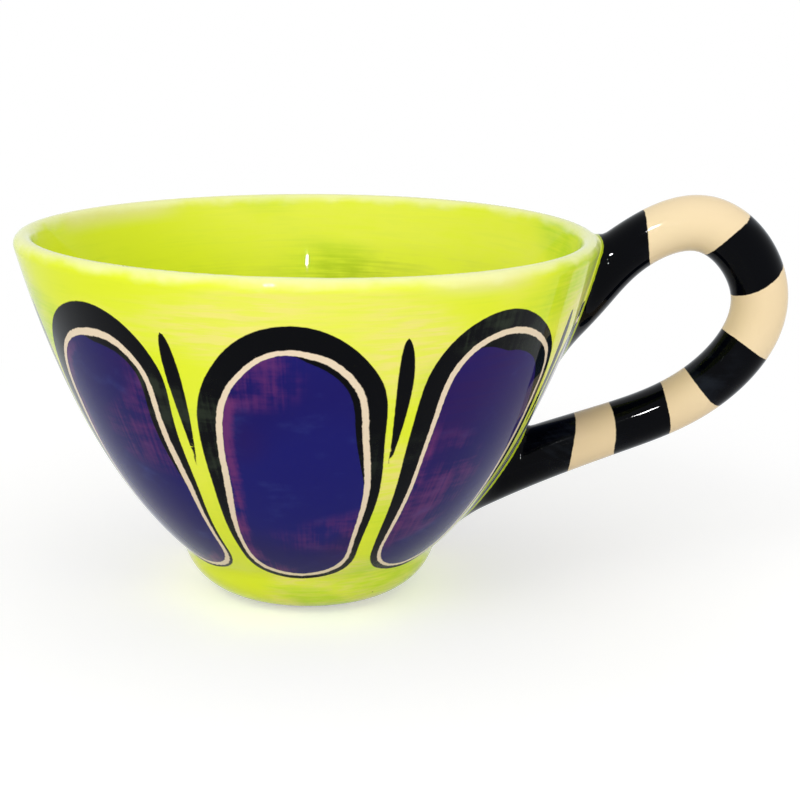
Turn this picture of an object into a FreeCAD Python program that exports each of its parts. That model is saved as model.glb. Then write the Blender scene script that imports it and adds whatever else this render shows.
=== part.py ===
"""A wide ceramic cup with a low foot and one looped handle, fired as a single piece.

Millimetres, +Z up. The origin is the centre of the foot's underside, on the surface that the cup stands on.
The handle stands out along +X. The bowl is a turned shape about the Z axis.
"""

import FreeCAD
import Part
import math
import os

# Bowl
RIM_RADIUS = 62.5            # outside of the lip
CUP_HEIGHT = 80.0            # top of the lip
LIP_THICKNESS = 4.1          # the lip is a full round of this thickness
WALL_RIM_ANGLE = 75.5        # the wall's lean just under the lip, degrees above level
WALL_FOOT_ANGLE = 46.0       # the wall's lean where it leaves the foot
WALL_RIM_PULL = 30.0         # how far the wall follows its upper lean
WALL_FOOT_PULL = 21.0        # how far the wall follows its lower lean
WALL_THICKNESS_LOW = 5.6     # the wall thickens from the lip down to this
FLOOR_THICKNESS = 5.2
FLOOR_FLAT_RADIUS = 9.0      # the level middle of the inside
WALL_SAMPLES = 9             # steps along the outside's curve that carry its shape to the inside
FLOOR_SAMPLES = 2            # of these, the lowest ones, where the inside rounds into the floor instead

# Foot
WAIST_RADIUS = 28.8          # where the wall and the foot meet
WAIST_HEIGHT = 10.4
WAIST_BLEND = 9.0            # hollow round between the foot's side and the wall
FOOT_RADIUS = 24.5           # the foot's side, carried down to the surface it stands on
FOOT_EDGE_ROUND = 12.4       # wide round between the foot's side and the surface it stands on
FOOT_FLAT_WIDTH = 3.6        # the level ring that it stands on
RECESS_DEPTH = 2.6           # hollow under the foot
RECESS_SLOPE = 3.2           # how far in the hollow reaches its full depth

# Handle: a rolled bar. Its midline is placed outwards from the rim's outside. The loop's top goes by the
# rim's top, and the lower arm by its height above the surface that the cup stands on.
HANDLE_REACH = 35.5          # rim to the midline's furthest point
HANDLE_REACH_DROP = 12.4     # that point's depth below the rim
CROWN_OUT = 23.4             # rim to the midline's highest point
CROWN_RISE = 2.0             # that point's height above the rim
SHOULDER_OUT = 5.1           # midline of the upper arm, halfway up from the wall
SHOULDER_DROP = 4.4
UPPER_ROOT_DROP = 11.9       # where the midline enters the wall at the top
UPPER_ENTRY_ANGLE = 49.0     # how steeply it goes in, degrees above level
LOWER_ROOT_HEIGHT = 26.1     # where the midline enters the wall at the bottom
LOWER_ENTRY_ANGLE = 30.0
LOWER_ARM_OUT = 4.9          # midline of the lower arm
LOWER_ARM_HEIGHT = 36.4
LOWER_BEND_OUT = 24.2        # midline where the lower arm turns up
LOWER_BEND_HEIGHT = 46.1
BAR_THICKNESS = 12.3         # in the handle's plane, round the loop
BAR_WIDTH = 13.0             # across the handle's plane
ARM_THICKNESS = 11.4         # the arms are a little thinner
LOWER_ROOT_THICKNESS = 12.9  # the bar spreads where it is pressed to the wall
UPPER_ROOT_THICKNESS = 13.2
ROOT_WIDTH = 15.0
BAR_END = 12.0               # both ways, at the ends that the trimming takes off
ROOT_RUN = 24.0              # how far the bar is carried inside the wall before trimming
BAR_SECTIONS = 27            # oval sections along the bar
OVAL_POINTS = 12             # points that carry each section
ROOT_BLEND = 2.2             # clay smoothed into the corner between the lower arm and the wall

SAME_PLACE = 0.01            # points nearer than this are the same point
FULL_TURN = 360.0
AXIS_START = FreeCAD.Vector(0, 0, 0)
AXIS_DIRECTION = FreeCAD.Vector(0, 0, 1)


def at(radius, height):
    """A point of the section plane, which is the handle's plane."""
    return FreeCAD.Vector(radius, 0, height)


def heading(angle):
    """Unit direction in the section plane, by degrees above level."""
    return at(math.cos(math.radians(angle)), math.sin(math.radians(angle)))


def outward(angle):
    """The wall's outward normal where it leans at this angle."""
    return heading(angle - 90.0)


def line(start, end):
    return Part.LineSegment(start, end).toShape()


def arc_about(centre, radius, first_angle, last_angle):
    """An arc from one angle to another about its centre, through the angle halfway between."""
    middle_angle = (first_angle + last_angle) / 2.0
    ends = [centre + heading(a) * radius for a in (first_angle, middle_angle, last_angle)]
    return Part.Arc(*ends).toShape()


def bezier(*poles):
    curve = Part.BezierCurve()
    curve.setPoles(list(poles))
    return curve


def spline(points, first_direction, last_direction):
    curve = Part.BSplineCurve()
    curve.interpolate(Points=points, InitialTangent=first_direction, FinalTangent=last_direction)
    return curve


def foot_side_angle():
    return math.degrees(math.atan2(WAIST_HEIGHT, WAIST_RADIUS - FOOT_RADIUS))


def waist_tangents():
    """Where the hollow round leaves the foot's side, and where it meets the wall."""
    side, wall = foot_side_angle(), WALL_FOOT_ANGLE
    reach = WAIST_BLEND * math.tan(math.radians((side - wall) / 2.0))
    corner = at(WAIST_RADIUS, WAIST_HEIGHT)
    return corner - heading(side) * reach, corner + heading(wall) * reach


def lip_centre():
    return at(RIM_RADIUS - LIP_THICKNESS / 2.0, CUP_HEIGHT - LIP_THICKNESS / 2.0)


def outer_wall():
    """The wall's outside, from the waist to the lip, as one Bezier curve."""
    start = waist_tangents()[1]
    end = lip_centre() + outward(WALL_RIM_ANGLE) * (LIP_THICKNESS / 2.0)
    leaving = start + heading(WALL_FOOT_ANGLE) * WALL_FOOT_PULL
    arriving = end - heading(WALL_RIM_ANGLE) * WALL_RIM_PULL
    return bezier(start, leaving, arriving, end)


def wall_thickness(share):
    """Thickness at a share of the way from the waist to the lip."""
    return WALL_THICKNESS_LOW + (LIP_THICKNESS - WALL_THICKNESS_LOW) * share


def wall_layer(depth_share, first_sample):
    """Points inside the wall, at a share of its thickness from the outside, lowest first."""
    wall = outer_wall()
    points = []
    for index in range(first_sample, WALL_SAMPLES + 1):
        share = index / WALL_SAMPLES
        tangent = wall.tangent(share)[0]
        inward = FreeCAD.Vector(-tangent.z, 0, tangent.x)
        points.append(wall.value(share) + inward * (wall_thickness(share) * depth_share))
    return points


def inner_wall():
    """The inside, from the level floor to the lip."""
    floor_edge = at(FLOOR_FLAT_RADIUS, RECESS_DEPTH + FLOOR_THICKNESS)
    points = [floor_edge] + wall_layer(1.0, FLOOR_SAMPLES)
    return spline(points, heading(0.0), heading(WALL_RIM_ANGLE))


def turned(edges):
    """A section turned about the axis, with its seam at the back, away from the handle."""
    body = Part.Face(Part.Wire(edges)).revolve(AXIS_START, AXIS_DIRECTION, FULL_TURN)
    body.rotate(AXIS_START, AXIS_DIRECTION, FULL_TURN / 2.0)
    return body


def foot():
    """From the axis out: the hollow underneath, the ring that it stands on, its round edge and its side."""
    side = foot_side_angle()
    round_reach = FOOT_EDGE_ROUND * math.tan(math.radians(side / 2.0))
    edge_centre = at(FOOT_RADIUS - round_reach, FOOT_EDGE_ROUND)
    ring_outside = at(edge_centre.x, 0)
    ring_inside = ring_outside - at(FOOT_FLAT_WIDTH, 0)
    hollow_edge = ring_inside + at(-RECESS_SLOPE, RECESS_DEPTH)
    half_slope = at(RECESS_SLOPE / 2.0, 0)
    slope = bezier(hollow_edge, hollow_edge + half_slope, ring_inside - half_slope, ring_inside)
    side_start = edge_centre + outward(side) * FOOT_EDGE_ROUND
    side_end = waist_tangents()[0]
    waist_centre = side_end + outward(side) * WAIST_BLEND
    return [
        line(at(0, RECESS_DEPTH), hollow_edge),
        slope.toShape(),
        line(ring_inside, ring_outside),
        arc_about(edge_centre, FOOT_EDGE_ROUND, -90.0, side - 90.0),
        line(side_start, side_end),
        arc_about(waist_centre, WAIST_BLEND, side + 90.0, WALL_FOOT_ANGLE + 90.0),
    ]


def bowl():
    """The turned body: foot, wall, lip and floor."""
    inner = inner_wall()
    floor_edge = inner.value(inner.FirstParameter)
    lip = arc_about(lip_centre(), LIP_THICKNESS / 2.0, WALL_RIM_ANGLE - 90.0, WALL_RIM_ANGLE + 90.0)
    floor = line(floor_edge, at(0, floor_edge.z))
    axis = line(at(0, floor_edge.z), at(0, RECESS_DEPTH))
    return turned(foot() + [outer_wall().toShape(), lip, inner.toShape(), floor, axis])


def bowl_core():
    """Everything inside the middle of the wall, carried above the handle: it trims the bar's ends."""
    top = CUP_HEIGHT + CROWN_RISE + BAR_THICKNESS
    middle = [at(WAIST_RADIUS - WALL_THICKNESS_LOW, WAIST_HEIGHT)] + wall_layer(1.0 / 2.0, 1)
    wall = spline(middle, heading(WALL_FOOT_ANGLE), heading(WALL_RIM_ANGLE))
    low, high = middle[0], middle[-1]
    return turned([
        line(at(0, low.z), low),
        wall.toShape(),
        line(high, at(high.x, top)),
        line(at(high.x, top), at(0, top)),
        line(at(0, top), at(0, low.z)),
    ])


def wall_point(height):
    """The point of the wall's outside at a height, found along the wall's curve."""
    wall = outer_wall()
    low, high = 0.0, 1.0
    for _ in range(40):
        middle = (low + high) / 2.0
        if wall.value(middle).z < height:
            low = middle
        else:
            high = middle
    return wall.value(low)


def beyond_rim(out, height):
    """A point of the handle's plane, this far out from the rim."""
    return at(RIM_RADIUS + out, height)


def handle_places():
    """Places on the bar's midline, lower end first, each with the bar's thickness and width there."""
    lower_root = wall_point(LOWER_ROOT_HEIGHT)
    upper_root = wall_point(CUP_HEIGHT - UPPER_ROOT_DROP)
    return [
        (lower_root - heading(LOWER_ENTRY_ANGLE) * ROOT_RUN, BAR_END, BAR_END),
        (lower_root, LOWER_ROOT_THICKNESS, ROOT_WIDTH),
        (beyond_rim(LOWER_ARM_OUT, LOWER_ARM_HEIGHT), ARM_THICKNESS, BAR_WIDTH),
        (beyond_rim(LOWER_BEND_OUT, LOWER_BEND_HEIGHT), ARM_THICKNESS, BAR_WIDTH),
        (beyond_rim(HANDLE_REACH, CUP_HEIGHT - HANDLE_REACH_DROP), BAR_THICKNESS, BAR_WIDTH),
        (beyond_rim(CROWN_OUT, CUP_HEIGHT + CROWN_RISE), BAR_THICKNESS, BAR_WIDTH),
        (beyond_rim(SHOULDER_OUT, CUP_HEIGHT - SHOULDER_DROP), ARM_THICKNESS, BAR_WIDTH),
        (upper_root, UPPER_ROOT_THICKNESS, ROOT_WIDTH),
        (upper_root - heading(UPPER_ENTRY_ANGLE) * ROOT_RUN, BAR_END, BAR_END),
    ]


def handle_curves():
    """The bar's midline, and a curve of the same parameters whose X and Y are its thickness and width."""
    places, thicknesses, widths = zip(*handle_places())
    parameters = [0.0]
    for before, after in zip(places, places[1:]):
        parameters.append(parameters[-1] + (after - before).Length)
    sizes = [FreeCAD.Vector(size) for size in zip(thicknesses, widths, parameters)]
    midline, size = Part.BSplineCurve(), Part.BSplineCurve()
    midline.interpolate(Points=list(places), Parameters=parameters)
    size.interpolate(Points=sizes, Parameters=parameters)
    return midline, size


def bar_section(midline, size, parameter):
    """One oval section, square to the midline."""
    centre = midline.value(parameter)
    across = FreeCAD.Vector(0, 1, 0)
    in_plane = across.cross(midline.tangent(parameter)[0])
    thickness, width = size.value(parameter)[:2]
    points = []
    for index in range(OVAL_POINTS):
        angle = math.radians(FULL_TURN * index / OVAL_POINTS)
        sideways = across * (width / 2.0 * math.sin(angle))
        points.append(centre + sideways - in_plane * (thickness / 2.0 * math.cos(angle)))
    oval = Part.BSplineCurve()
    oval.interpolate(Points=points, PeriodicFlag=True)
    return Part.Wire(oval.toShape())


def handle_bar():
    midline, size = handle_curves()
    first, last = midline.FirstParameter, midline.LastParameter
    step = (last - first) / (BAR_SECTIONS - 1)
    sections = [bar_section(midline, size, first + step * index) for index in range(BAR_SECTIONS)]
    return Part.makeLoft(sections, True, False)


def lower_root_edges(joined, body, bar):
    """The edges where the lower arm meets the bowl's outside."""
    between_roots = (LOWER_ROOT_HEIGHT + CUP_HEIGHT - UPPER_ROOT_DROP) / 2.0
    found = []
    for edge in joined.Edges:
        middle = edge.valueAt((edge.FirstParameter + edge.LastParameter) / 2.0)
        gaps = [Part.Vertex(middle).distToShape(piece.Shells[0])[0] for piece in (body, bar)]
        if max(gaps) < SAME_PLACE and middle.z < between_roots:
            found.append(edge)
    return found


def cup():
    body = bowl()
    bar = handle_bar().cut(bowl_core())
    joined = body.fuse(bar).removeSplitter()
    return joined.makeFillet(ROOT_BLEND, lower_root_edges(joined, body, bar))


def main():
    os.makedirs("parts", exist_ok=True)
    cup().exportStep("parts/cup.step")


main()
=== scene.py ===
"""The looks of a wide hand-painted ceramic cup with a striped loop handle.

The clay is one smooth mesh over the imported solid. Its painting lies under a clear glaze. Around it are a pale
floor, soft studio light and the camera. Sizes are millimetres, and MM turns them into the scene's metres.
"""
import math

import bpy
import numpy as np
from mathutils import Matrix, Vector


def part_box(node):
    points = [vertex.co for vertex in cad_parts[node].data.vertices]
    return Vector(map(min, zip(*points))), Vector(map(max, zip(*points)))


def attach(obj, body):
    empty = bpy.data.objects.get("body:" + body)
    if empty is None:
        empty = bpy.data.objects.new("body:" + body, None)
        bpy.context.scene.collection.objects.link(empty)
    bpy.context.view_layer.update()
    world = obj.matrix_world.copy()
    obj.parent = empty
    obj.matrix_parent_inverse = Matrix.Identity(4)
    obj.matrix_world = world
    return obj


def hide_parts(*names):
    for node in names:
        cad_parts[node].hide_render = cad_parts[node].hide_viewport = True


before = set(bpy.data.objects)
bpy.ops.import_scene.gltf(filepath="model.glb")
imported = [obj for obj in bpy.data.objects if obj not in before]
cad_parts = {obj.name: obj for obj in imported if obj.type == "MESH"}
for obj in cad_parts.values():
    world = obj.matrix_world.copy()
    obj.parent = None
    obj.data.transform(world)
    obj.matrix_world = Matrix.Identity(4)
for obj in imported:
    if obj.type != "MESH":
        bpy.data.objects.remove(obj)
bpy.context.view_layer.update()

MM = 0.001
CAD_LOW, CAD_HIGH = (np.array(corner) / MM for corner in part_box("cup"))

# Bowl: a section turned about Z
RIM_RADIUS = CAD_HIGH[1]
CUP_HEIGHT = 80.0
LIP_THICKNESS = 4.1
WALL_RIM_ANGLE = 75.5        # the wall's lean under the lip, degrees above level
WALL_FOOT_ANGLE = 46.0
WALL_RIM_PULL = 30.0
WALL_FOOT_PULL = 21.0
WALL_THICKNESS_LOW = 5.6
FLOOR_THICKNESS = 5.2
FLOOR_FLAT_RADIUS = 9.0
WALL_SAMPLES = 9
FLOOR_SAMPLES = 2

# Foot
WAIST_RADIUS = 28.8
WAIST_HEIGHT = 10.4
WAIST_BLEND = 9.0
FOOT_RADIUS = 24.5
FOOT_EDGE_ROUND = 12.4
FOOT_FLAT_WIDTH = 3.6
RECESS_DEPTH = 2.6
RECESS_SLOPE = 3.2

# Handle: places on the rolled bar's midline, lower end first
HANDLE_REACH_DROP = 12.4
CROWN_OUT = 23.4
SHOULDER_OUT = 5.1
SHOULDER_DROP = 4.4
UPPER_ROOT_DROP = 11.9
UPPER_ENTRY_ANGLE = 49.0
LOWER_ROOT_HEIGHT = 26.1
LOWER_ENTRY_ANGLE = 30.0
LOWER_ARM_OUT = 4.9
LOWER_ARM_HEIGHT = 36.4
LOWER_BEND_OUT = 24.2
LOWER_BEND_HEIGHT = 46.1
BAR_THICKNESS = 12.3
BAR_WIDTH = 13.0
ARM_THICKNESS = 11.4
LOWER_ROOT_THICKNESS = 12.9
UPPER_ROOT_THICKNESS = 13.2
ROOT_WIDTH = 15.0
BAR_END = 12.0
ROOT_RUN = 24.0

# How many points the lines of the section and the handle have
ARC_STEPS = 40
LIP_STEPS = 80
LINE_STEPS = 300
SLOPE_STEPS = 30
MIDLINE_STEPS = 220

# The clay's surface as a mesh
CLAY_BLEND = 2.9             # how widely the clay is smoothed where the handle meets the bowl
BLEND_RISE = 2.0             # over this depth from the middle of the wall the smoothing comes in
BAR_FROM = 20.0              # the bar matters only beyond this distance from the axis
BAR_BESIDE = 14.0            # and within this distance from the handle's plane
WOBBLES = ((2, 0.22, 0.7), (3, 0.16, 2.1), (5, 0.07, 4.0))   # waves round the rim, their size and phase
RIM_SWAY = 0.2               # how far the lip rises and falls on its way round
GRID = 0.94
GRID_MARGIN = 2.5            # cells of it beyond the part's box
TABLE_STEP = 0.25
TABLE_MARGIN = 4.0
RELAX_ROUNDS = 4
SETTLE_ROUNDS = 3
SLOPE_STEP = 0.35
SMALL = 1e-6
FAR = 1000.0
NO_HANDLE = -20.0            # what the mesh says of the handle where it is far away

# Colours, as red, green and blue from 0 to 255
LIME = (233, 245, 48)
LEMON = (243, 246, 92)
STRAW = (248, 234, 136)
GREEN_WASH = (198, 228, 40)
OLIVE_WASH = (168, 188, 22)
# painted highlight: the pale band round the lip
LIP_HIGHLIGHT = (248, 250, 184)
BLUSH = (250, 238, 190)
# painted shade: a thin dark line low on the foot, where it stands on the floor
FOOT_SHADE = (120, 134, 48)
VIOLET = (28, 19, 94)
VIOLET_BLUE = (27, 26, 108)
PLUM = (44, 22, 90)
MAGENTA = (112, 50, 110)
MIST = (62, 76, 146)
BLACK = (2, 3, 7)
BLACK_THIN = (42, 50, 38)
LINE_CREAM = (240, 220, 190)
BAR_CREAM = (244, 223, 184)
BAR_CREAM_DEEP = (238, 211, 166)
SLATE = (40, 46, 56)
BISCUIT = (222, 202, 172)
SPECK = (70, 66, 22)

# Painting on the bowl: a ring of upright petals. Runs go down the wall from the lip.
PETALS = 8
PETAL_TIP_RUN = 8.5
PETAL_WIDEST_RUN = 31.0
PETAL_END_RUN = 79.5
PETAL_GAP = 1.7              # from the middle of the gap to the petal's edge
PETAL_CORNER = 4.0
PETAL_TIP_ROUND = 7.0
PETAL_END_ROUND = 10.0
PETAL_LEAN = 2.6             # how far a tip may stand to one side
PETAL_TIP_VARIES = 1.4
PETAL_END_VARIES = 0.9
STRAY = 0.42                 # how far the brush strays from a true line
STRAY_SIZE = 17.0
CLOUD_WAVES = 28
CLOUD_SPREAD = (0.75, 1.6)   # the least and the greatest share of a cloud's size that its waves have
STROKE_LEAST = 1.3
STROKE_MORE = 3.1
STROKE_MOST = 1.2            # where the brush is uneven, a stroke gains at most this share of STROKE_MORE
OUTER_BEARING = 115.0        # where the outer stroke is widest: 0 at a petal's right, 90 at its top
INNER_BEARING = 50.0         # and the inner one
INNER_STROKE = 3.4
OUTER_UNEVEN = (26, 0.22)    # clouds of this size change the outer stroke's width by this much
INNER_UNEVEN = (22, 0.35)
INNER_REACH = 1.3            # how far round a petal the inner stroke runs
LOWER_PRESS = 0.4            # the strokes' share of their width at a petal's lower end
LOWER_FROM = 36.0            # the strokes thin out from this far above a petal's end
LOWER_TO = 4.0
CREAM_WIDTH = 1.3
CREAM_UNEVEN = (12, 0.13)
CREAM_LEAST = 0.35           # the cream line's share of its width where the brush isn't pressed at all
RAGGED = 0.16
TORN = 0.4
EDGE_SOFT = 0.12
EDGE_MAGENTA = 1.9
COMMA_TOP_RUN = 13.0
COMMA_END_RUN = 50.0
COMMA_HALF_WIDTH = 1.9
COMMA_FULLEST = 0.325        # the widest value of the comma's formula
COMMA_BEND = 5.0
COMMA_THIN = 0.3             # the brush leaves the clay where the stroke is thinner than this
WRAP_RADIUS = 50.0           # the fine brush marks are cut from a tube of this size wrapped round the bowl
SWIRL_TWIST = 0.03           # how far diagonal brush marks turn for each millimetre down the wall
PETAL_SEED = 4
CLOUD_SEED = 11

# Painting on the handle: stripes, each edge with its run from the lower root and its slant across the bar
STRIPE_EDGES = ((18.2, -3.1), (28.2, -1.3), (40.4, -1.5), (49.8, 1.1),
                (63.1, -0.3), (77.8, 2.0), (91.3, -1.5), (109.2, -2.1))
STRIPE_WAVE = 0.3
STRIPE_WAVE_SIZE = 8.0
STRIPE_RAGGED = 0.25
ROOT_LINE = 0.9              # a line of ground left bare where the handle meets the painting

# Washes of colour on the ground
WASH_DROOP = 2.2             # washes lie this much wider than they are tall
INSIDE_WASH_FROM = 11.0      # the darker wash inside starts this far down from the lip
INSIDE_WASH_TO = 66.0
INSIDE_WASH_COMES_IN = 14.0
INSIDE_WASH_DIES_OUT = 16.0
INSIDE_WASH_LEAST = 0.3
FOOT_WASH_RUN = 80.0
FOOT_WASH_COMES_IN = 4.0
BLUSH_RUNS = (2, 7)          # the blush on both sides of the lip fades out between these runs
STRAW_RUNS = (1, 5)          # the straw wash comes in between these, on the outside
EDGE_UNEVEN = 0.6            # how much clouds shift the warm band along a petal's edge

# Patches of colour: the size of their clouds, and the cloud values between which each comes in
PATCHES = {
    "foot": (11, -0.1, 1.4),
    "blue": (24, -0.6, 0.8),
    "plum": (17, -0.1, 1.1),
    "magenta": (15, 0.55, 1.5),
    "edge_magenta": (18, 0.35, 1.1),
    "dry": (13, 0.0, 1.2),
    "lemon": (48, -1.4, 1.8),
    "green": (26, 0.3, 2.2),
    "olive": (24, -0.7, 0.7),
    "blush": (24, 0.2, 1.6),
    "straw": (15, -0.6, 1.0),
}

# Brush marks: the size of their clouds along three axes, a seed and how fine their detail is
RAGGED_MARKS = ((1.1, 1.1, 1.1), 41, 2.0)
LEVEL_MARKS = ((14, 14, 0.7), 22, 2.0)
UPRIGHT_MARKS = ((0.8, 0.8, 17), 23, 2.0)
SWIRLED_MARKS = ((7, 7, 0.9), 26, 2.0)
CLOUDY_MARKS = ((8, 8, 5), 29, 5.0)
WEAVE = (0.12, 0.26, 0.62)   # shares of level, upright and cloudy marks in mixed brush work

# How much of a mark's value makes it show: nothing below the first number, all above the second
WASH_SHOWS = (0.34, 0.64)
STRAW_SHOWS = (0.35, 0.65)
STREAK_SHOWS = (0.5, 0.7)
MIST_SHOWS = (0.55, 0.8)
MAGENTA_SHOWS = (0.4, 0.64)
EDGE_SHOWS = (0.38, 0.6)
DRY_SHOWS = (0.44, 0.6)
HANDLE_DRY_SHOWS = (0.46, 0.66)

# Cover, as a share of 1. Pairs give the least cover, and how much more the brush marks add.
LEMON_COVER = (0.5, 0.4)
STRAW_COVER = (0.25, 0.5)
GREEN_COVER = (0.35, 0.6)
OLIVE_COVER = (0.15, 0.7)
PLUM_COVER = (0.5, 0.8)
STREAK_COVER = 0.12
STREAK_MIX = (0.6, 0.4)      # shares of level and cloudy marks in the streaks
WASH_MIX = (0.45, 0.55)      # and in the washes
BLUSH_COVER = 0.6
LIP_HIGHLIGHT_COVER = 0.8
FOOT_SHADE_COVER = 0.6
SPECK_COVER = 0.85
MAGENTA_COVER = 0.6
MIST_COVER = 0.5
EDGE_COVER = 0.8
DRY_COVER = 0.8
ROOT_COVER = 0.9
BAR_DEEP_COVER = 0.7
SLATE_COVER = 0.4
LIP_HIGHLIGHT_BAND = (-2.2, 2.2, 1.4)  # the painted highlight band's runs from the lip, and how soft its edges are
LIP_HIGHLIGHT_STRAY = 4.0
# the painted shade line low on the foot: its heights and how soft its edges are, then how far its edges stray
FOOT_SHADE_BAND = (0.8, 1.4, 0.3)
FOOT_SHADE_STRAY = 0.4
ROOT_LINE_SOFT = 0.25
ROOT_LINE_REACH = 1.0
HANDLE_EDGE_STRAY = 0.5
EDGE_BAND_FROM = -1.0
EDGE_BAND_SOFT = 0.9
SPECK_CELLS = 0.11           # cells to a millimetre, with one speck in each
SPECK_SIZES = (0.016, 0.03)  # a speck fades out between these distances, as shares of a cell
OUTSIDE_RUNS = (1.0, 2.0)    # the painting starts between these runs below the lip

# Glaze
GLAZE_IOR = 1.5
GLAZE_LEVEL = 0.055          # how much of that index's mirror image shows head on
GLAZE_ROUGHNESS = 0.02
SMUDGE_ROUGHNESS = 0.03
SHEEN = 0.2
SHEEN_ROUGHNESS = 0.28
SHEEN_COLOUR = (178, 220, 255)
BARE_HEIGHTS = (0.25, 0.6)   # the ring that it stands on is bare clay up to here
BISCUIT_ROUGHNESS = 0.85
BARE_SOFT = 1.0
GLAZE_RIPPLE = 0.03
RIPPLE_MARKS = ((9, 9, 9), 73, 2.0)
GLAZE_PEEL = 0.002
PEEL_MARKS = ((1.6, 1.6, 1.6), 74, 2.0)

# Camera: where it stands, and how it is turned from looking straight across the cup
CAMERA_DISTANCE = 340.0
CAMERA_HEIGHT = 130.06
CAMERA_TURN = 3.8            # degrees round the cup from straight in front
CAMERA_YAW = 3.384
CAMERA_PITCH = 14.55
CAMERA_ROLL = 0.865
CAMERA_LENS = 70.83
CAMERA_SENSOR = 36.0

# Stage
FLOOR_REACH = 700.0
FLOOR_EDGES = 96
FLOOR_PALE = 0.75
FLOOR_GLOW = 0.42
FLOOR_FADE_FROM = 110.0
FLOOR_FADE_TO = 240.0

# Light: the sky's, and the lamps' places, sizes and brightness. The windows only make the small glints.
SKY_LIGHT = 0.66
LAMPS = (
    ("key", (-600, -700, 700), 600, 3.1),
    ("fill", (700, -600, 300), 500, 2.0),
    ("low_front", (0, -900, 60), 500, 2.0),
)
WINDOWS = (
    ("window_front", (38, -820, 412), 12, 1500.0),
    ("window_high", (73, -780, 516), 10, 1500.0),
    ("window_left", (-149, -650, 630), 56, 700.0),
)


def heading(angle):
    """Unit direction in the section plane, by degrees above level."""
    return np.array([math.cos(math.radians(angle)), math.sin(math.radians(angle))])


def outward(angle):
    return heading(angle - 90.0)


def arc_about(centre, radius, first_angle, last_angle, steps=ARC_STEPS):
    angles = np.radians(np.linspace(first_angle, last_angle, steps))
    return centre + radius * np.stack([np.cos(angles), np.sin(angles)], axis=1)


def bezier(poles, shares):
    """Points of a cubic Bezier curve, and its directions there."""
    a, b, c, d = (np.array(pole, float) for pole in poles)
    t = np.asarray(shares, float)[:, None]
    points = (1 - t) ** 3 * a + 3 * (1 - t) ** 2 * t * b + 3 * (1 - t) * t * t * c + t ** 3 * d
    slopes = (1 - t) ** 2 * (b - a) + 2 * (1 - t) * t * (c - b) + t * t * (d - c)
    return points, slopes / np.linalg.norm(slopes, axis=1)[:, None]


class Spline:
    """A smooth curve through places, measured along the chords of their first two numbers."""

    def __init__(self, places, ends=None):
        self.places = np.array(places, float)
        chords = np.linalg.norm(np.diff(self.places[:, :2], axis=0), axis=1)
        self.knots = np.concatenate([[0.0], np.cumsum(chords)])
        rises = np.diff(self.places, axis=0) / chords[:, None]
        rows = np.eye(len(self.places))
        target = np.zeros_like(self.places)
        target[0], target[-1] = ends if ends is not None else self.end_slopes(rises, chords)
        for i in range(1, len(self.places) - 1):
            before, after = chords[i - 1], chords[i]
            rows[i, i - 1:i + 2] = after, 2 * (before + after), before
            target[i] = 3 * (after * rises[i - 1] + before * rises[i])
        self.slopes = np.linalg.solve(rows, target)

    @staticmethod
    def end_slopes(rises, chords):
        first = rises[0] + (rises[0] - rises[1]) * chords[0] / (chords[0] + chords[1])
        last = rises[-1] + (rises[-1] - rises[-2]) * chords[-1] / (chords[-1] + chords[-2])
        return first, last

    def at(self, runs):
        runs = np.asarray(runs, float)
        index = np.clip(np.searchsorted(self.knots, runs, side="right") - 1, 0, len(self.knots) - 2)
        gap = (self.knots[index + 1] - self.knots[index])[:, None]
        t = (runs - self.knots[index])[:, None] / gap
        start, end = self.places[index], self.places[index + 1]
        leaving, arriving = self.slopes[index] * gap, self.slopes[index + 1] * gap
        return ((1 + 2 * t) * (1 - t) ** 2 * start + t * (1 - t) ** 2 * leaving
                + t * t * (3 - 2 * t) * end + t * t * (t - 1) * arriving)


FOOT_SIDE_ANGLE = math.degrees(math.atan2(WAIST_HEIGHT, WAIST_RADIUS - FOOT_RADIUS))
LIP_CENTRE = np.array([RIM_RADIUS - LIP_THICKNESS / 2, CUP_HEIGHT - LIP_THICKNESS / 2])
RING_OUTSIDE = FOOT_RADIUS - FOOT_EDGE_ROUND * math.tan(math.radians(FOOT_SIDE_ANGLE / 2))
RING_INSIDE = RING_OUTSIDE - FOOT_FLAT_WIDTH


def waist_tangents():
    """Where the hollow round leaves the foot's side, and where it meets the wall."""
    reach = WAIST_BLEND * math.tan(math.radians((FOOT_SIDE_ANGLE - WALL_FOOT_ANGLE) / 2))
    corner = np.array([WAIST_RADIUS, WAIST_HEIGHT])
    return corner - heading(FOOT_SIDE_ANGLE) * reach, corner + heading(WALL_FOOT_ANGLE) * reach


def outer_wall(shares):
    start = waist_tangents()[1]
    end = LIP_CENTRE + outward(WALL_RIM_ANGLE) * (LIP_THICKNESS / 2)
    leaving = start + heading(WALL_FOOT_ANGLE) * WALL_FOOT_PULL
    arriving = end - heading(WALL_RIM_ANGLE) * WALL_RIM_PULL
    return bezier((start, leaving, arriving, end), shares)


def wall_layer(depth_share, first_sample):
    """Points inside the wall, at a share of its thickness from the outside, lowest first."""
    shares = np.arange(first_sample, WALL_SAMPLES + 1) / WALL_SAMPLES
    points, directions = outer_wall(shares)
    inward = np.stack([-directions[:, 1], directions[:, 0]], axis=1)
    thickness = WALL_THICKNESS_LOW + (LIP_THICKNESS - WALL_THICKNESS_LOW) * shares
    return points + inward * (thickness * depth_share)[:, None]


def drawn(places, first_direction, last_direction, steps=LINE_STEPS):
    """A smooth line through places that leaves and arrives in the given directions."""
    curve = Spline(places, (first_direction, last_direction))
    return curve.at(np.linspace(0, curve.knots[-1], steps))


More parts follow.
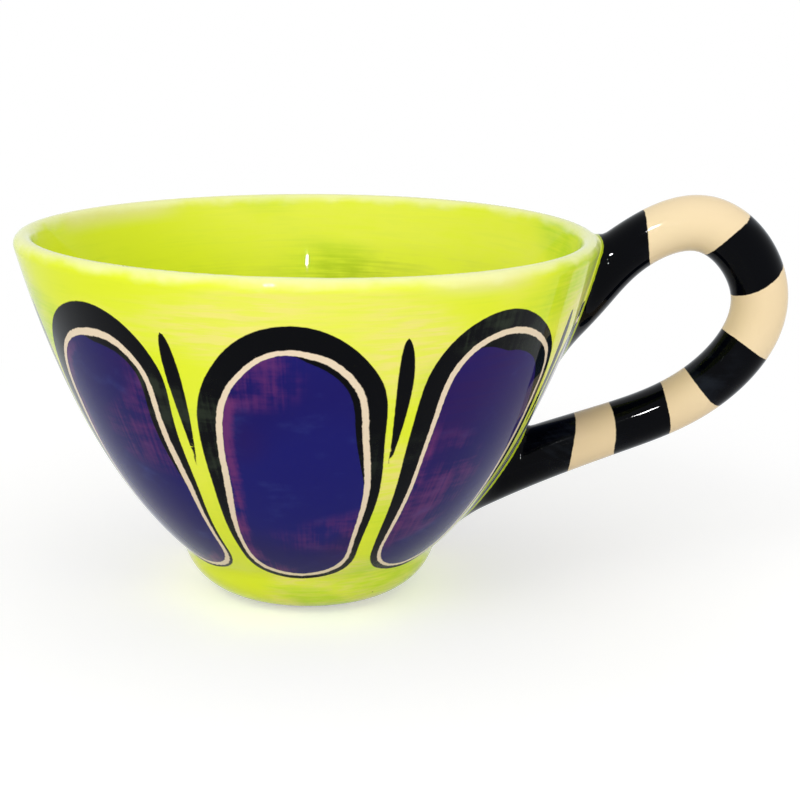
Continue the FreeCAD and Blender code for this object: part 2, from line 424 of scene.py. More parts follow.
def foot_line():
    """From the axis out: the hollow underneath, the ring that it stands on, its round edge and its side."""
    side = FOOT_SIDE_ANGLE
    edge_centre = np.array([RING_OUTSIDE, FOOT_EDGE_ROUND])
    ring_inside = np.array([RING_INSIDE, 0])
    hollow_edge = ring_inside + (-RECESS_SLOPE, RECESS_DEPTH)
    half_slope = np.array([RECESS_SLOPE / 2, 0])
    slope, _ = bezier((hollow_edge, hollow_edge + half_slope, ring_inside - half_slope, ring_inside),
                      np.linspace(0, 1, SLOPE_STEPS))
    waist_centre = waist_tangents()[0] + outward(side) * WAIST_BLEND
    return np.concatenate([
        [[0, RECESS_DEPTH]],
        slope,
        arc_about(edge_centre, FOOT_EDGE_ROUND, -90, side - 90),
        arc_about(waist_centre, WAIST_BLEND, side + 90, WALL_FOOT_ANGLE + 90),
    ])


def section_line():
    """The bowl's outline: underneath, up the outside, over the lip, down the inside and along the floor."""
    floor_edge = np.array([FLOOR_FLAT_RADIUS, RECESS_DEPTH + FLOOR_THICKNESS])
    inner = drawn([floor_edge, *wall_layer(1, FLOOR_SAMPLES)], heading(0), heading(WALL_RIM_ANGLE))
    lip = arc_about(LIP_CENTRE, LIP_THICKNESS / 2, WALL_RIM_ANGLE - 90, WALL_RIM_ANGLE + 90, LIP_STEPS)
    wall, _ = outer_wall(np.linspace(0, 1, LINE_STEPS))
    return np.concatenate([foot_line(), wall[1:], lip[1:], inner[-2::-1], [[0, floor_edge[1]]]])


def core_line():
    """The middle of the wall, carried straight up above the lip. The bar's ends stop there."""
    low = np.array([WAIST_RADIUS - WALL_THICKNESS_LOW, WAIST_HEIGHT])
    middle = drawn([low, *wall_layer(0.5, 1)], heading(WALL_FOOT_ANGLE), heading(WALL_RIM_ANGLE))
    above = np.array([middle[-1, 0], CUP_HEIGHT + BAR_THICKNESS * 2])
    return np.concatenate([[[0, low[1]]], middle, [above]])


def runs_along(line):
    """The distance from a line's start to each of its points."""
    return np.concatenate([[0], np.cumsum(np.linalg.norm(np.diff(line, axis=0), axis=1))])


def nearest(line, points):
    """For each point: its distance to a line, the run along the line to there, and its offset to the left."""
    distance = np.full(len(points), FAR)
    run = np.zeros(len(points))
    left = np.zeros(len(points))
    passed = 0.0
    for start, end in zip(line, line[1:]):
        length = np.hypot(*(end - start))
        if length == 0:
            continue
        ahead = (end - start) / length
        offset = points - start
        along = np.clip(offset @ ahead, 0, length)
        away = offset - along[:, None] * ahead
        size = np.hypot(away[:, 0], away[:, 1])
        closer = size < distance
        distance = np.where(closer, size, distance)
        run = np.where(closer, passed + along, run)
        left = np.where(closer, ahead[0] * offset[:, 1] - ahead[1] * offset[:, 0], left)
        passed += length
    return distance, run, left


def enclosed(line, points):
    """Whether each point lies between the line and the axis."""
    inside = np.zeros(len(points), bool)
    for (r0, z0), (r1, z1) in zip(line, np.roll(line, -1, axis=0)):
        if z0 == z1:
            continue
        spans = (points[:, 1] < z0) != (points[:, 1] < z1)
        inside ^= spans & (points[:, 0] < r0 + (points[:, 1] - z0) * (r1 - r0) / (z1 - z0))
    return inside


class Table:
    """Two numbers over the section plane, kept on a fine lattice and read by interpolation."""

    def __init__(self, low, high, numbers_at):
        self.low = np.array(low, float)
        sides = [np.arange(a, b, TABLE_STEP) for a, b in zip(low, high)]
        across, up = np.meshgrid(*sides, indexing="ij")
        found = numbers_at(np.stack([across.ravel(), up.ravel()], axis=1))
        self.values = np.stack(found).reshape(2, *across.shape)

    def read(self, across, up):
        """The two numbers at each place, and how far the place lies outside the lattice."""
        spot = (np.stack([across, up]) - self.low[:, None]) / TABLE_STEP
        kept = np.clip(spot, 0, np.array(self.values.shape[1:])[:, None] - 1.001)
        cell = kept.astype(int)
        (i, j), (u, v) = cell, kept - cell
        low = self.values[:, i, j] * (1 - u) + self.values[:, i + 1, j] * u
        high = self.values[:, i, j + 1] * (1 - u) + self.values[:, i + 1, j + 1] * u
        first, second = low * (1 - v) + high * v
        return first, second, np.linalg.norm(spot - kept, axis=0) * TABLE_STEP


def solid_table(line):
    """Signed distance to a line that closes along the axis, and the run along it."""
    def numbers_at(points):
        distance, run, _ = nearest(line, points)
        return np.where(enclosed(line, points), -distance, distance), run

    return Table((0, -TABLE_MARGIN), (RIM_RADIUS + TABLE_MARGIN, CAD_HIGH[2] + TABLE_MARGIN), numbers_at)


def bar_table(midline):
    """The offset out of the loop from the bar's midline, and the run along it."""
    def numbers_at(points):
        _, run, left = nearest(midline, points)
        return -left, run

    return Table((BAR_FROM, 0), CAD_HIGH[[0, 2]] + TABLE_MARGIN, numbers_at)


def handle_places():
    """Places on the bar's midline, each with the bar's thickness and width there."""
    wall, _ = outer_wall(np.linspace(0, 1, LINE_STEPS))

    def on_wall(height):
        return np.array([np.interp(height, wall[:, 1], wall[:, 0]), height])

    lower_root = on_wall(LOWER_ROOT_HEIGHT)
    upper_root = on_wall(CUP_HEIGHT - UPPER_ROOT_DROP)
    lower_end = lower_root - heading(LOWER_ENTRY_ANGLE) * ROOT_RUN
    upper_end = upper_root - heading(UPPER_ENTRY_ANGLE) * ROOT_RUN
    reach = CAD_HIGH[0] - BAR_THICKNESS / 2
    crown = CAD_HIGH[2] - BAR_THICKNESS / 2
    return [
        (*lower_end, BAR_END, BAR_END),
        (*lower_root, LOWER_ROOT_THICKNESS, ROOT_WIDTH),
        (RIM_RADIUS + LOWER_ARM_OUT, LOWER_ARM_HEIGHT, ARM_THICKNESS, BAR_WIDTH),
        (RIM_RADIUS + LOWER_BEND_OUT, LOWER_BEND_HEIGHT, ARM_THICKNESS, BAR_WIDTH),
        (reach, CUP_HEIGHT - HANDLE_REACH_DROP, BAR_THICKNESS, BAR_WIDTH),
        (RIM_RADIUS + CROWN_OUT, crown, BAR_THICKNESS, BAR_WIDTH),
        (RIM_RADIUS + SHOULDER_OUT, CUP_HEIGHT - SHOULDER_DROP, ARM_THICKNESS, BAR_WIDTH),
        (*upper_root, UPPER_ROOT_THICKNESS, ROOT_WIDTH),
        (*upper_end, BAR_END, BAR_END),
    ]


SECTION = section_line()
BOWL = solid_table(SECTION)
CORE = solid_table(core_line())
BAR = Spline(handle_places())
BAR_STEPS = np.linspace(0, BAR.knots[-1], MIDLINE_STEPS)
MIDLINE = BAR.at(BAR_STEPS)
MIDLINE_RUNS = runs_along(MIDLINE[:, :2])
BAR_PLACES = bar_table(MIDLINE[:, :2])
LIP_RUN = nearest(SECTION, np.array([[LIP_CENTRE[0], CUP_HEIGHT]]))[1][0]
ROOT_PASSED = np.interp(BAR.knots[1], BAR_STEPS, MIDLINE_RUNS)
SECTION_RUNS = runs_along(SECTION)
WALL_RUNS = (LIP_RUN - SECTION_RUNS)[::-1]
WALL_RADII = SECTION[::-1, 0]


def trued(points):
    """Where each point would be if the bowl were turned perfectly true."""
    x, y, z = points.T
    angle = np.arctan2(y, x)
    height_share = np.clip(z / CUP_HEIGHT, 0, 1) ** 2
    swell = sum(size * np.cos(waves * angle + phase) for waves, size, phase in WOBBLES)
    shrink = 1 - height_share * swell / np.maximum(np.hypot(x, y), 1.0)
    sway = height_share * RIM_SWAY * np.sin(2 * angle)
    return np.stack([x * shrink, y * shrink, z - sway], axis=1)


def bowl_at(points):
    """Signed distance to the bowl, and the run along its outline."""
    distance, run, beyond = BOWL.read(np.hypot(points[:, 0], points[:, 1]), points[:, 2])
    return distance + beyond, run


def bar_at(points):
    """Signed distance to the rolled bar, the run along it, and the place across it: inside -1, outside 1."""
    out, run, beyond = BAR_PLACES.read(points[:, 0], points[:, 2])
    sizes = BAR.at(np.interp(run, MIDLINE_RUNS, BAR_STEPS))
    half_thickness, half_width = sizes[:, 2] / 2, sizes[:, 3] / 2
    away = np.maximum(np.hypot(out, points[:, 1]), SMALL)
    along_oval = np.hypot(half_width * out, half_thickness * points[:, 1])
    oval = half_thickness * half_width * away / np.maximum(along_oval, SMALL)
    return away - oval + beyond, run, np.clip(out / half_thickness, -1, 1)


def near_bar(points):
    return (points[:, 0] > BAR_FROM) & (np.abs(points[:, 1]) < BAR_BESIDE)


def bar_and_blend(points):
    """Signed distance to the bar beyond the middle of the wall, and how widely it blends into the bowl."""
    bar, _, _ = bar_at(points)
    core, _, _ = CORE.read(np.hypot(points[:, 0], points[:, 1]), points[:, 2])
    share = np.clip(core / BLEND_RISE, 0, 1)
    return np.maximum(bar, -core), np.maximum(CLAY_BLEND * share * share * (3 - 2 * share), SMALL)


def clay(points):
    """Signed distance to the cup's surface, below zero inside the clay."""
    points = trued(points)
    distance, _ = bowl_at(points)
    near = near_bar(points)
    bar, blend = bar_and_blend(points[near])
    bowl = distance[near]
    share = np.clip(0.5 + 0.5 * (bar - bowl) / blend, 0, 1)
    distance[near] = bar + (bowl - bar) * share - blend * share * (1 - share)
    return distance


def slopes(points, step=SLOPE_STEP):
    """Unit directions out of the clay."""
    found = np.empty_like(points)
    for axis in range(3):
        shift = np.zeros(3)
        shift[axis] = step
        found[:, axis] = clay(points + shift) - clay(points - shift)
    return found / np.linalg.norm(found, axis=1)[:, None]


def skin():
    """One vertex to each cell of a grid that the surface crosses, and a face round each edge it crosses."""
    sides = [np.arange(a - GRID_MARGIN * GRID, b + (GRID_MARGIN + 0.5) * GRID, GRID)
             for a, b in zip(CAD_LOW, CAD_HIGH)]
    y, z = (side.ravel() for side in np.meshgrid(sides[1], sides[2], indexing="ij"))
    layers = [clay(np.stack([np.full(y.size, x), y, z], axis=1)) < 0 for x in sides[0]]
    solid = np.stack(layers).reshape([len(side) for side in sides])
    p, q, r = (count - 1 for count in solid.shape)
    corners = sum(solid[i:p + i, j:q + j, k:r + k].astype(int)
                  for i in (0, 1) for j in (0, 1) for k in (0, 1))
    crossed = (corners > 0) & (corners < 8)
    numbers = np.full(crossed.shape, -1)
    numbers[crossed] = np.arange(crossed.sum())
    starts = np.array([side[0] for side in sides])
    vertices = starts + (np.argwhere(crossed) + 0.5) * GRID
    faces = []
    for axis in range(3):
        order = (axis, (axis + 1) % 3, (axis + 2) % 3)
        filled, cells = solid.transpose(order), numbers.transpose(order)
        i, j, k = np.nonzero(filled[1:, 1:-1, 1:-1] != filled[:-1, 1:-1, 1:-1])
        quads = np.stack([cells[i, j, k], cells[i, j + 1, k], cells[i, j + 1, k + 1], cells[i, j, k + 1]],
                         axis=1)
        facing_back = ~filled[i, j + 1, k + 1]
        quads[facing_back] = quads[facing_back, ::-1]
        faces.append(quads)
    return vertices, np.concatenate(faces)


def settled(vertices):
    """The vertices moved onto the surface."""
    return vertices - slopes(vertices) * clay(vertices)[:, None]


def relaxed(vertices, faces):
    """The vertices spread evenly over the surface."""
    ends = np.concatenate([faces[:, [i, (i + 1) % 4]] for i in range(4)])
    counts = np.bincount(ends[:, 0], minlength=len(vertices))[:, None]
    for _ in range(RELAX_ROUNDS):
        sums = np.stack([np.bincount(ends[:, 0], vertices[ends[:, 1], axis], len(vertices))
                         for axis in range(3)], axis=1)
        vertices = settled((vertices + sums / counts) / 2)
    for _ in range(SETTLE_ROUNDS):
        vertices = settled(vertices)
    return vertices


class Clouds:
    """Smooth random values about zero, mostly within -1 and 1, made of waves in random directions."""

    def __init__(self, seed):
        self.random = np.random.default_rng(seed)

    def over(self, points, size):
        directions = self.random.normal(size=(3, CLOUD_WAVES))
        shares = self.random.uniform(*CLOUD_SPREAD, CLOUD_WAVES)
        directions /= np.linalg.norm(directions, axis=0) * shares * size / math.pi
        phases = self.random.uniform(0, 2 * math.pi, CLOUD_WAVES)
        return np.cos(points @ directions + phases).sum(axis=1) * math.sqrt(2 / CLOUD_WAVES)


def smooth(value, low, high):
    """0 below low, 1 above high, and smooth between."""
    share = np.clip((value - low) / (high - low), 0, 1)
    return share * share * (3 - 2 * share)


def rounded_max(a, b, reach):
    """The higher of two distances, rounded over where they cross."""
    share = np.clip(0.5 + 0.5 * (a - b) / reach, 0, 1)
    return b + (a - b) * share + reach * share * (1 - share)


def petal_facts(angle, radius, down, clouds, points):
    """Signed distance to the nearest petal's edge, below zero inside it, and the bearing round its middle,
    from 0 at its right through a quarter turn at its top."""
    pitch = 2 * math.pi / PETALS
    turn = angle / pitch
    number = np.floor(turn + 0.5)
    chances = np.random.default_rng(PETAL_SEED).uniform(-1, 1, (4, PETALS))
    chance = chances[:, number.astype(int) % PETALS]
    room = radius * pitch / 2
    across = (turn - number) * pitch * radius + clouds.over(points, STRAY_SIZE) * STRAY
    down = down + clouds.over(points, STRAY_SIZE) * STRAY
    tip = PETAL_TIP_RUN + chance[0] * PETAL_TIP_VARIES
    widest = PETAL_WIDEST_RUN + chance[1] * PETAL_TIP_VARIES
    across = across - chance[2] * PETAL_LEAN * smooth(widest - down, 0, widest - tip)
    half_width = np.interp(PETAL_WIDEST_RUN, WALL_RUNS, WALL_RADII) * pitch / 2 - PETAL_GAP
    rise = widest - tip
    arch = (half_width ** 2 + rise ** 2) / (2 * half_width)
    above = np.minimum(down - widest, 0)
    sides = [np.hypot(side * across + arch - half_width, above) - arch for side in (1, -1)]
    top = rounded_max(*sides, PETAL_TIP_ROUND)
    body = rounded_max(top, np.abs(across) - room + PETAL_GAP, PETAL_CORNER)
    end = PETAL_END_RUN + chance[3] * PETAL_END_VARIES
    distance = rounded_max(body, down - end, PETAL_END_ROUND)
    return distance, np.arctan2((widest - down) / 2, across)


def comma_distance(angle, radius, down, clouds, points):
    """Distance to the comma-shaped brush stroke between two petals: a round head and a long thin tail."""
    pitch = 2 * math.pi / PETALS
    turn = angle / pitch
    off = (turn - np.floor(turn) - 0.5) * pitch * radius + clouds.over(points, STRAY_SIZE) * STRAY
    length = COMMA_END_RUN - COMMA_TOP_RUN
    share = (down - COMMA_TOP_RUN) / length
    kept = np.clip(share, 0, 1)
    half_width = COMMA_HALF_WIDTH * np.sqrt(kept) * (1 - kept) ** 1.5 / COMMA_FULLEST - COMMA_THIN
    bend = COMMA_BEND * (share - 0.5) * (share - 0.5)
    side = np.abs(off + bend) - half_width
    return np.maximum(side, (np.abs(share - 0.5) - 0.5) * length)


def bowl_facts(points, down, clouds):
    """Where the bowl's brush work lies: distances from the edges of its layers, and shares of its washes."""
    angle = np.arctan2(points[:, 1], points[:, 0])
    radius = np.hypot(points[:, 0], points[:, 1])
    spread = np.stack([points[:, 0], points[:, 1], points[:, 2] * WASH_DROOP], axis=1)

    def uneven(size, share):
        return clouds.over(points, size) * share

    def patch(name, places=points, shift=0.0, share=1.0):
        size, low, high = PATCHES[name]
        return smooth(shift + clouds.over(places, size) * share, low, high)

    petal, bearing = petal_facts(angle, radius, down, clouds, points)
    press = 1 - smooth(down, PETAL_END_RUN - LOWER_FROM, PETAL_END_RUN - LOWER_TO) * (1 - LOWER_PRESS)
    outer = np.cos(bearing - math.radians(OUTER_BEARING)) * 0.5 + 0.5 + uneven(*OUTER_UNEVEN)
    inner = np.cos(bearing - math.radians(INNER_BEARING)) * INNER_REACH - 0.5 + uneven(*INNER_UNEVEN)
    cream_from = petal + (STROKE_LEAST + STROKE_MORE * np.clip(outer, 0, STROKE_MOST)) * press
    cream_width = CREAM_WIDTH + uneven(*CREAM_UNEVEN)
    black_again = cream_from + cream_width * (CREAM_LEAST + (1 - CREAM_LEAST) * press)
    depth = -down
    coming_in = smooth(depth, INSIDE_WASH_FROM, INSIDE_WASH_FROM + INSIDE_WASH_COMES_IN)
    inside_wash = coming_in * (1 - smooth(depth, INSIDE_WASH_TO - INSIDE_WASH_DIES_OUT, INSIDE_WASH_TO))
    foot_wash = smooth(down, FOOT_WASH_RUN, FOOT_WASH_RUN + FOOT_WASH_COMES_IN) * patch("foot")
    return {
        "petal": petal,
        "cream_from": cream_from,
        "black_again": black_again,
        "field_from": black_again + INNER_STROKE * np.clip(inner, 0, 1) * press,
        "comma": comma_distance(angle, radius, down, clouds, points),
        "blue": patch("blue"),
        "plum": patch("plum"),
        "magenta": patch("magenta"),
        "edge_magenta": patch("edge_magenta", shift=-np.cos(bearing), share=EDGE_UNEVEN),
        "dry": patch("dry"),
        "lemon": patch("lemon", spread),
        "green": np.maximum(patch("green", spread), foot_wash),
        "olive": (INSIDE_WASH_LEAST + (1 - INSIDE_WASH_LEAST) * patch("olive", spread)) * inside_wash,
        "blush": patch("blush") * (1 - smooth(np.abs(down), *BLUSH_RUNS)),
        "straw": patch("straw") * smooth(down, *STRAW_RUNS),
    }


def stripe_facts(along, lift, clouds, points):
    """The run from the nearest stripe's edge, above zero in the cream stripes."""
    waved = along + clouds.over(points, STRIPE_WAVE_SIZE) * STRIPE_WAVE
    found = np.full(len(points), -FAR)
    for (low, low_slant), (high, high_slant) in zip(STRIPE_EDGES[::2], STRIPE_EDGES[1::2]):
        inside_both = np.minimum(waved - low - lift * low_slant, high + lift * high_slant - waved)
        found = np.maximum(found, inside_both)
    return found


def painting_facts(vertices):
    """What the painting needs at each vertex. Runs go down the wall from the lip, below zero inside."""
    clouds = Clouds(CLOUD_SEED)
    points = trued(vertices)
    bowl, section_run = bowl_at(points)
    near = near_bar(points)
    along, lift, on_handle = (np.full(len(points), value) for value in (-FAR, 0.0, NO_HANDLE))
    _, bar_run, lift[near] = bar_at(points[near])
    along[near] = bar_run - ROOT_PASSED
    on_handle[near] = bowl[near] - bar_and_blend(points[near])[0]
    down = LIP_RUN - section_run
    return {"down": down, "on_handle": on_handle, "cream_stripe": stripe_facts(along, lift, clouds, points),
            **bowl_facts(points, down, clouds)}


def clay_piece():
    vertices, faces = skin()
    vertices = relaxed(vertices, faces)
    mesh = bpy.data.meshes.new("cup_glazed")
    mesh.from_pydata((vertices * MM).tolist(), [], faces.tolist())
    for name, values in painting_facts(vertices).items():
        mesh.attributes.new(name, "FLOAT", "POINT").data.foreach_set("value", values.astype(np.float32))
    mesh.shade_smooth()
    mesh.normals_split_custom_set_from_vertices(slopes(vertices).tolist())
    cup = bpy.data.objects.new("cup_glazed", mesh)
    bpy.context.scene.collection.objects.link(cup)
    return cup


class Field:
    """A number or colour that varies over the surface. Arithmetic on it adds shader nodes."""

    tree = None

    def __init__(self, socket):
        self.socket = socket

    def __add__(self, other):
        return maths("ADD", self, other)

    def __radd__(self, other):
        return maths("ADD", other, self)

    def __sub__(self, other):
        return maths("SUBTRACT", self, other)

    def __rsub__(self, other):
        return maths("SUBTRACT", other, self)

    def __mul__(self, other):
        return maths("MULTIPLY", self, other)

    def __rtruediv__(self, other):
        return maths("DIVIDE", other, self)


def node(kind, inputs, output=0, **settings):
    made = Field.tree.nodes.new(kind)
    for name, value in settings.items():
        setattr(made, name, value)
    for key, value in inputs.items():
        if isinstance(value, Field):
            Field.tree.links.new(value.socket, made.inputs[key])
        else:
            made.inputs[key].default_value = value
    return Field(made.outputs[output])


def maths(operation, *values):
    return node("ShaderNodeMath", dict(enumerate(values)), operation=operation)


def rising(value, low, high):
    """0 below low, 1 above high, and smooth between."""
    return node("ShaderNodeMapRange", {0: value, 1: low, 2: high}, interpolation_type="SMOOTHSTEP")


def inside(distance, soft=EDGE_SOFT):
    """1 where a distance is below zero, 0 where it is above."""
    return 1.0 - rising(distance, -soft, soft)


def band(value, low, high, soft=EDGE_SOFT):
    return rising(value, low - soft, low + soft) * (1.0 - rising(value, high - soft, high + soft))


def noise(place, sizes, seed, detail):
    """Cloudy values about 0.5, with clouds of these sizes along the three axes."""
    scales = tuple(1.0 / size for size in sizes)
    moved = node("ShaderNodeMapping", {"Vector": place, "Location": (seed * 7.3, seed * 3.1, seed * 5.7),
                                       "Scale": scales})
    return node("ShaderNodeTexNoise", {"Vector": moved, "Scale": 1.0, "Detail": detail})


def colour(shade):
    """A colour of 0 to 255 as the linear red, green, blue and alpha of a socket."""
    if isinstance(shade, Field):
        return shade
    shares = [part / 255 for part in shade]
    linear = [s / 12.92 if s <= 0.04045 else ((s + 0.055) / 1.055) ** 2.4 for s in shares]
    return (*linear, 1.0)


def over(share, paint, ground):
    """Paint laid over the ground, with this share of cover."""
    return node("ShaderNodeMix", {0: share, 6: colour(ground), 7: colour(paint)}, output=2, data_type="RGBA")


def marked(cover, marks):
    """The least cover, and more where the brush marks show."""
    least, more = cover
    return least + marks * more


def mixed(shares, *marks):
    return sum((mark * share for mark, share in zip(marks[1:], shares[1:])), marks[0] * shares[0])


def attribute(name):
    return node("ShaderNodeAttribute", {}, output=2, attribute_name=name)


def finish_tree(shader, kind="ShaderNodeOutputMaterial"):
    output = Field.tree.nodes.new(kind)
    Field.tree.links.new(shader.socket, output.inputs["Surface"])


class Surface:
    """The fields that place the painting's fine marks."""

    def __init__(self):
        metres = node("ShaderNodeTexCoord", {}, output=3)
        self.place = node("ShaderNodeVectorMath", {0: metres, "Scale": 1.0 / MM}, operation="SCALE")
        split = Field.tree.nodes.new("ShaderNodeSeparateXYZ")
        Field.tree.links.new(self.place.socket, split.inputs[0])
        x, y, self.z = (Field(socket) for socket in split.outputs)
        self.radius = maths("SQRT", x * x + y * y)
        self.down = attribute("down")
        turn = WRAP_RADIUS / self.radius
        self.wrap = node("ShaderNodeCombineXYZ", {0: x * turn, 1: y * turn, 2: self.down})
        self.swirl = node("ShaderNodeVectorRotate", {"Vector": self.wrap, "Angle": self.down * SWIRL_TWIST},
                          rotation_type="Z_AXIS")
        self.ragged = noise(self.place, *RAGGED_MARKS) - 0.5
        self.level = noise(self.wrap, *LEVEL_MARKS)
        self.upright = noise(self.wrap, *UPRIGHT_MARKS)
        self.swirled = noise(self.swirl, *SWIRLED_MARKS)
        self.cloudy = noise(self.place, *CLOUDY_MARKS)
        self.weave = mixed(WEAVE, self.level, self.upright, self.cloudy)


def ground_colour(s):
    """Lime washes, brushed round the bowl outside and inside, with a painted highlight band round the lip and a
    thin painted shade line low on the foot.
    """
    marks = rising(mixed(WASH_MIX, s.level, s.cloudy), *WASH_SHOWS)
    streaks = rising(mixed(STREAK_MIX, s.level, s.cloudy), *STREAK_SHOWS)
    washed = over(attribute("lemon") * marked(LEMON_COVER, marks), LEMON, LIME)
    washed = over(attribute("straw") * marked(STRAW_COVER, rising(s.swirled, *STRAW_SHOWS)), STRAW, washed)
    washed = over(attribute("green") * marked(GREEN_COVER, marks), GREEN_WASH, washed)
    washed = over(attribute("olive") * marked(OLIVE_COVER, marks), OLIVE_WASH, washed)
    washed = over(streaks * STREAK_COVER, GREEN_WASH, washed)
    washed = over(attribute("blush") * BLUSH_COVER, BLUSH, washed)
    # painted highlight: a pale band along the lip
    lip = band(s.down + (s.cloudy - 0.5) * LIP_HIGHLIGHT_STRAY, *LIP_HIGHLIGHT_BAND)
    washed = over(lip * LIP_HIGHLIGHT_COVER, LIP_HIGHLIGHT, washed)
    # painted shade: a thin dark line low on the foot's edge
    foot_line = band(s.z + s.ragged * FOOT_SHADE_STRAY, *FOOT_SHADE_BAND)
    washed = over(foot_line * FOOT_SHADE_COVER, FOOT_SHADE, washed)
    specks = node("ShaderNodeTexVoronoi", {"Vector": s.place, "Scale": SPECK_CELLS, "Randomness": 1.0})
    return over((1.0 - rising(specks, *SPECK_SIZES)) * SPECK_COVER, SPECK, washed)


def violet_colour(s):
    """Layered violet brush work, warmer along one side of each petal."""
    field = over(attribute("blue"), VIOLET_BLUE, VIOLET)
    field = over(attribute("plum") * marked(PLUM_COVER, s.level), PLUM, field)
    field = over(attribute("magenta") * rising(s.weave, *MAGENTA_SHOWS) * MAGENTA_COVER, MAGENTA, field)
    field = over(rising(s.cloudy, *MIST_SHOWS) * s.swirled * MIST_COVER, MIST, field)
    depth = 0.0 - attribute("field_from")
    edge = band(depth + s.ragged, EDGE_BAND_FROM, EDGE_MAGENTA, EDGE_BAND_SOFT) * attribute("edge_magenta")
    return over(edge * rising(s.weave, *EDGE_SHOWS) * EDGE_COVER, MAGENTA, field)


def bowl_paint(s):
    """The painted outside of the bowl, and plain ground inside it and round the handle's roots."""
    edge = s.ragged * RAGGED
    torn = s.ragged * TORN
    black = over(attribute("dry") * rising(s.weave, *DRY_SHOWS) * DRY_COVER, BLACK_THIN, BLACK)
    ground = ground_colour(s)
    strokes = maths("MAXIMUM", inside(attribute("comma") + edge), inside(attribute("petal") + edge))
    paint = over(strokes, black, ground)
    paint = over(inside(attribute("cream_from") - torn), LINE_CREAM, paint)
    paint = over(inside(attribute("black_again") + torn), black, paint)
    paint = over(inside(attribute("field_from") + edge), violet_colour(s), paint)
    outside = rising(s.down, *OUTSIDE_RUNS)
    root = band(attribute("on_handle"), -ROOT_LINE, ROOT_LINE_REACH, ROOT_LINE_SOFT)
    bare = over(root * ROOT_COVER, OLIVE_WASH, ground)
    return over(outside * (1.0 - root), paint, bare)


def handle_paint(s):
    """Black and cream stripes."""
    pale = rising(attribute("cream_stripe") + s.ragged * STRIPE_RAGGED, -EDGE_SOFT, EDGE_SOFT)
    cream = over(attribute("lemon") * BAR_DEEP_COVER, BAR_CREAM_DEEP, BAR_CREAM)
    dry = rising(s.weave, *HANDLE_DRY_SHOWS) * attribute("dry")
    return over(pale, cream, over(dry * SLATE_COVER, SLATE, BLACK))


def glaze():
    """The whole finish: the painting under a clear glaze, and the bare ring that the cup stands on."""
    material = bpy.data.materials.new("painted_glaze")
    material.use_nodes = True
    Field.tree = material.node_tree
    Field.tree.nodes.clear()
    s = Surface()
    on_handle = rising(attribute("on_handle") + s.ragged * HANDLE_EDGE_STRAY, -EDGE_SOFT, EDGE_SOFT)
    paint = over(on_handle, handle_paint(s), bowl_paint(s))
    bare = (1.0 - rising(s.z, *BARE_HEIGHTS)) * rising(s.radius, RING_INSIDE - BARE_SOFT, RING_INSIDE)
    paint = over(bare, BISCUIT, paint)
    roughness = GLAZE_ROUGHNESS + attribute("dry") * SMUDGE_ROUGHNESS
    roughness = roughness + bare * (BISCUIT_ROUGHNESS - GLAZE_ROUGHNESS)
    ripple = noise(s.place, *RIPPLE_MARKS) * GLAZE_RIPPLE + noise(s.place, *PEEL_MARKS) * GLAZE_PEEL
    bump = node("ShaderNodeBump", {"Strength": 1.0, "Distance": MM, "Height": ripple})
    shader = node("ShaderNodeBsdfPrincipled", {
        "Base Color": paint, "Roughness": roughness, "IOR": GLAZE_IOR, "Specular IOR Level": GLAZE_LEVEL,
        "Sheen Weight": SHEEN, "Sheen Roughness": SHEEN_ROUGHNESS, "Sheen Tint": colour(SHEEN_COLOUR),
        "Normal": bump,
    })
    finish_tree(shader)
    return material


def place_camera():
    yaw, pitch, roll = (math.radians(angle) for angle in (CAMERA_YAW, CAMERA_PITCH, CAMERA_ROLL))
    turn = Matrix.Rotation(math.radians(CAMERA_TURN), 3, "Z")
    ahead = Vector((math.sin(yaw) * math.cos(pitch), math.cos(yaw) * math.cos(pitch), -math.sin(pitch)))
    level = Vector((math.cos(yaw), -math.sin(yaw), 0))
    upright = level.cross(ahead)
    right = math.cos(roll) * level + math.sin(roll) * upright
    up = right.cross(ahead)
    axes = [turn @ axis for axis in (right, up, -ahead)]
    camera = bpy.data.objects.new("camera", bpy.data.cameras.new("camera"))
    camera.matrix_world = Matrix(axes).transposed().to_4x4()
    camera.location = turn @ Vector((0, -CAMERA_DISTANCE, CAMERA_HEIGHT)) * MM
    camera.data.lens = CAMERA_LENS
    camera.data.sensor_width = CAMERA_SENSOR
    bpy.context.scene.collection.objects.link(camera)
    bpy.context.scene.camera = camera


def lights_seen_white():
    """1 for what the camera, a mirror image or glass sees, 0 for the light that falls on things."""
    path = Field.tree.nodes.new("ShaderNodeLightPath")
    camera, glossy, through = (Field(path.outputs[name]) for name in
                               ("Is Camera Ray", "Is Glossy Ray", "Is Transmission Ray"))
    return maths("MAXIMUM", maths("MAXIMUM", camera, glossy), through)


def make_world():
    world = bpy.data.worlds.new("studio")
    world.use_nodes = True
    Field.tree = world.node_tree
    Field.tree.nodes.clear()
    strength = SKY_LIGHT + lights_seen_white() * (1.0 - SKY_LIGHT)
    finish_tree(node("ShaderNodeBackground", {"Color": (1.0, 1.0, 1.0, 1.0), "Strength": strength}),
                "ShaderNodeOutputWorld")
    bpy.context.scene.world = world


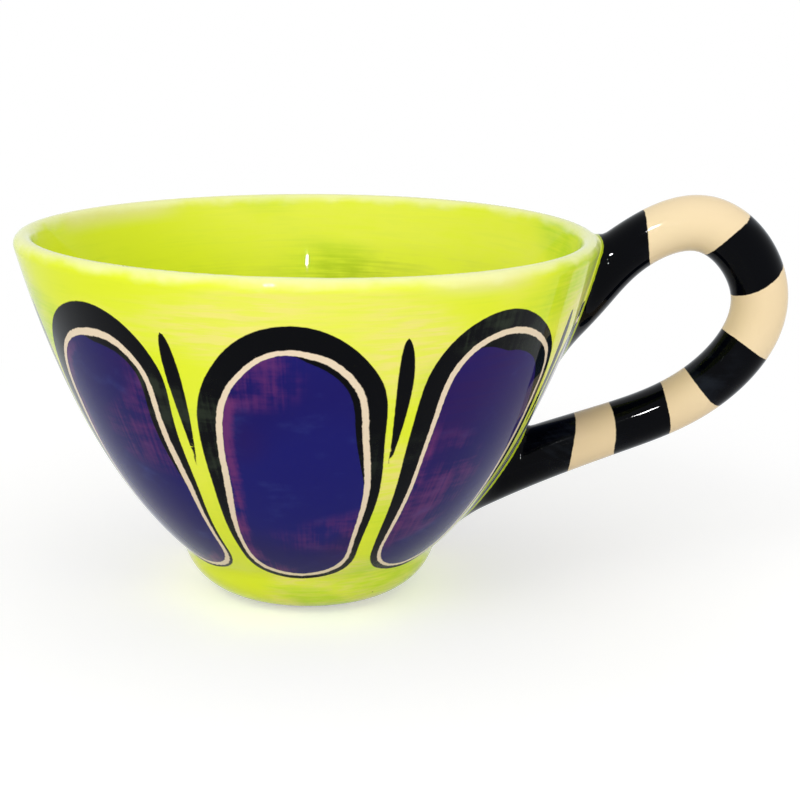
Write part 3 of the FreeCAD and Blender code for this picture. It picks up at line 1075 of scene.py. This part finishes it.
def floor_material():
    """Pale, with the cup's shadow, and plain white further out."""
    material = bpy.data.materials.new("floor")
    material.use_nodes = True
    Field.tree = material.node_tree
    Field.tree.nodes.clear()
    metres = node("ShaderNodeTexCoord", {}, output=3)
    away = node("ShaderNodeVectorMath", {0: metres}, output=1, operation="LENGTH")
    far = rising(away, FLOOR_FADE_FROM * MM, FLOOR_FADE_TO * MM)
    seen = lights_seen_white()
    lit = node("ShaderNodeBsdfDiffuse", {"Color": (FLOOR_PALE, FLOOR_PALE, FLOOR_PALE, 1.0)})
    glow = node("ShaderNodeEmission", {"Strength": seen * FLOOR_GLOW})
    near = node("ShaderNodeAddShader", {0: lit, 1: glow})
    white = node("ShaderNodeEmission", {"Strength": 1.0})
    finish_tree(node("ShaderNodeMixShader", {0: seen * far, 1: near, 2: white}))
    return material


def make_floor():
    mesh = bpy.data.meshes.new("floor")
    turns = [2 * math.pi * i / FLOOR_EDGES for i in range(FLOOR_EDGES)]
    reach = FLOOR_REACH * MM
    mesh.from_pydata([(reach * math.cos(t), reach * math.sin(t), 0) for t in turns], [], [range(FLOOR_EDGES)])
    mesh.materials.append(floor_material())
    floor = bpy.data.objects.new("floor", mesh)
    bpy.context.scene.collection.objects.link(floor)


def make_lamps(lamps, lit, mirrored):
    """Square lamps that light the object, or are mirrored in it."""
    aim = Vector((0, 0, CUP_HEIGHT / 2)) * MM
    for name, place, size, brightness in lamps:
        lamp = bpy.data.lights.new(name, "AREA")
        lamp.shape = "SQUARE"
        lamp.size = size * MM
        lamp.energy = brightness * math.pi * lamp.size ** 2
        holder = bpy.data.objects.new(name, lamp)
        holder.location = Vector(place) * MM
        holder.rotation_euler = (aim - holder.location).to_track_quat("-Z", "Y").to_euler()
        holder.visible_diffuse = lit
        holder.visible_glossy = mirrored
        bpy.context.scene.collection.objects.link(holder)


cup = clay_piece()
cup.data.materials.append(glaze())
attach(cup, "root")
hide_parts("cup")

place_camera()
make_world()
make_floor()
make_lamps(LAMPS, lit=True, mirrored=False)
make_lamps(WINDOWS, lit=False, mirrored=True)
bpy.context.scene.view_settings.view_transform = "Standard"
